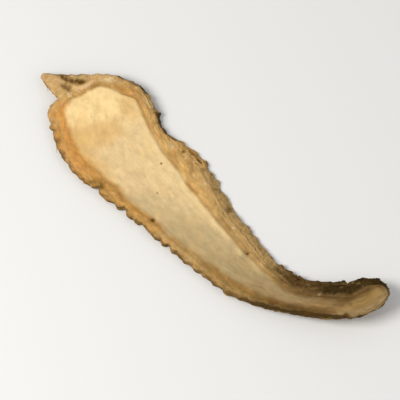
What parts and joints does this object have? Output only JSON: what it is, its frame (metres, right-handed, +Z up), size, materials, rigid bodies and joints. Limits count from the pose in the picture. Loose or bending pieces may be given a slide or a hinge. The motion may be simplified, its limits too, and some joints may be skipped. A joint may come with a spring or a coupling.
{
  "type": "dried dong quai root slice",
  "caption": "Long tapered slice of dried dong quai root with a pale core, a scalloped cortex edge, an ear at the head and a hooked tail, lying flat.",
  "frame": {"origin": "centre of the bounding box in plan, on the surface that the slice lies on", "axes": "+X along the slice from the head to the tail, +Z up from the surface out of the cut face"},
  "size_m": [0.092, 0.0256, 0.0056],
  "materials": {
    "root": "dry, matt cut face, cream in the core and orange-brown in the cortex, with dark wrinkled bark"
  },
  "bodies": {
    "root": {"root_slice": "root"}
  },
  "joints": []
}
